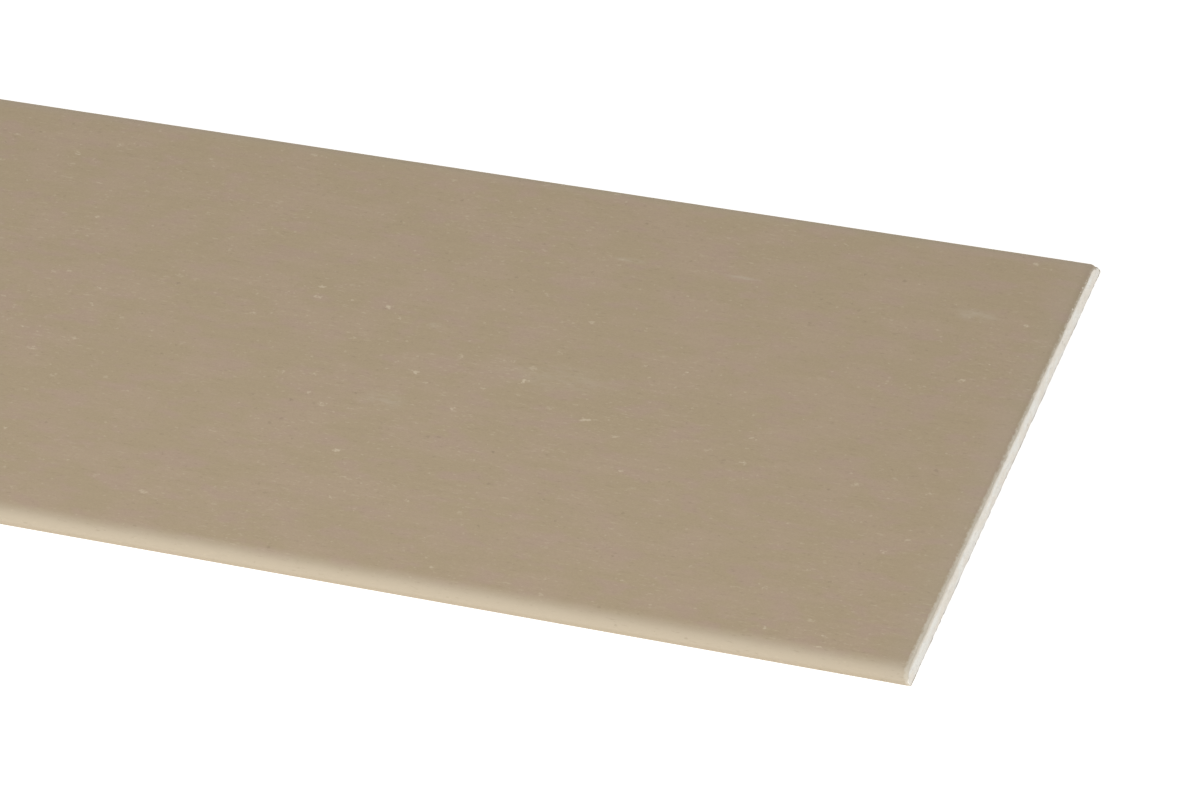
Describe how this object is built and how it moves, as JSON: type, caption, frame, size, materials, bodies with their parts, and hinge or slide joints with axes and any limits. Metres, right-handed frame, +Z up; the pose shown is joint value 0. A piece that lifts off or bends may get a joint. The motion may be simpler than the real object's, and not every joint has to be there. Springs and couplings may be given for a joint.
{
  "type": "drywall sheet",
  "caption": "Rectangular gypsum board with long edges rounded on the face side and wrapped in face paper, and square-cut ends that show the white core.",
  "frame": {"origin": "middle of the underside, on the surface that the sheet lies on", "axes": "+X along the length, parallel to the rounded long edges; +Y across the width; +Z up out of the face paper"},
  "size_m": [2, 0.625, 0.025],
  "materials": {
    "gypsum": "matte off-white cast gypsum, finely crumbled where it is cut",
    "face_paper": "matte grey-brown recycled liner paper with faint lengthwise mottling and pale fibre flecks",
    "back_paper": "matte plain grey liner paper"
  },
  "bodies": {
    "root": {"gypsum_core": "gypsum", "face_paper": "face_paper", "back_paper": "back_paper"}
  },
  "joints": []
}
